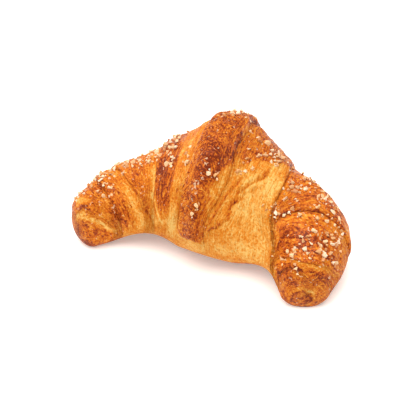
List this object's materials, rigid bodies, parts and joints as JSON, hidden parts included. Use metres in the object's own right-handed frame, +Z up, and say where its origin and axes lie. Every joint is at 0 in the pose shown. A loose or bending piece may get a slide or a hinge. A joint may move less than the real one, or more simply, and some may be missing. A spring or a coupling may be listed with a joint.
{
  "type": "croissant",
  "caption": "Crescent-shaped baked pastry roll with a glossy golden-brown crust, wrapped layers and baked-on sugar and nut crumbs.",
  "frame": {"origin": "on the surface the croissant rests on, under the middle of its box", "axes": "+Z up, +X from the left horn to the right horn as seen from the bay side, both horns pointing towards -Y"},
  "size_m": [0.151, 0.0913, 0.0689],
  "materials": {
    "crust": "glossy egg-washed crust, pale gold between darker caramel wraps",
    "sugar": "cream-white sugar and toasted nut grains"
  },
  "bodies": {
    "root": {"croissant": "crust"}
  },
  "joints": []
}
